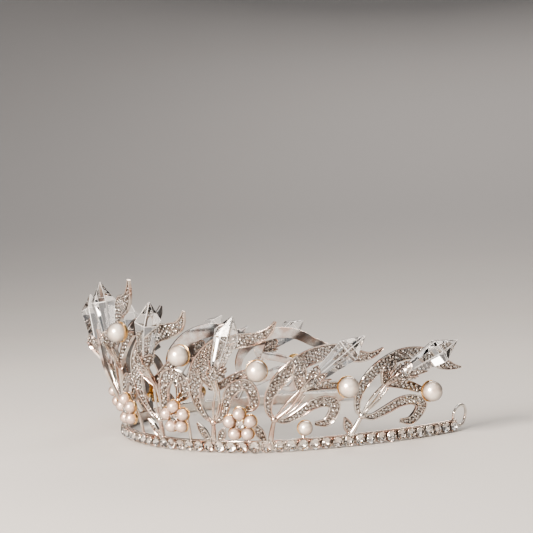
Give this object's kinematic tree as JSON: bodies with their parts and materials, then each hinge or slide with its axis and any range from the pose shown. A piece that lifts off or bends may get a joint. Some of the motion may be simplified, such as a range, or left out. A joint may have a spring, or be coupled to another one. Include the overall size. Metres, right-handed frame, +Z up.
{
  "type": "tiara",
  "caption": "Open-backed tiara of a stone-set band with crescent leaf sprays, pencil-pointed clear crystals, pearls and pearl flowers, and a wire ring at each end.",
  "frame": {"origin": "under the middle of the tiara, on the surface it stands on", "axes": "+Z up, +Y from the front to the open back, +X to the wearer's left as seen from the front"},
  "size_m": [0.188, 0.1477, 0.0703],
  "materials": {
    "silver_metal": "polished, slightly warm silver plate",
    "gilt_metal": "pale gilt",
    "cut_stone": "faceted and clear",
    "clear_crystal": "faceted and clear",
    "pearl": "warm ivory pearl lustre"
  },
  "bodies": {
    "root": {"frame": "silver_metal", "band_stones": "cut_stone", "curl_stones": "cut_stone", "pearl_cups": "gilt_metal", "flower_cups": "gilt_metal", "flower_stones": "cut_stone", "crystal_front": "clear_crystal", "crystal_left_1": "clear_crystal", "crystal_left_2": "clear_crystal", "crystal_left_3": "clear_crystal", "crystal_left_4": "clear_crystal", "crystal_right_1": "clear_crystal", "crystal_right_2": "clear_crystal", "crystal_right_3": "clear_crystal", "crystal_right_4": "clear_crystal", "pearl_front": "pearl", "pearl_left_1": "pearl", "pearl_left_2": "pearl", "pearl_left_3": "pearl", "pearl_left_4": "pearl", "pearl_right_1": "pearl", "pearl_right_2": "pearl", "pearl_right_3": "pearl", "pearl_right_4": "pearl", "bead_left": "pearl", "bead_right": "pearl", "flower_front": "pearl", "flower_left_1": "pearl", "flower_left_2": "pearl", "flower_right_1": "pearl", "flower_right_2": "pearl"}
  },
  "joints": []
}
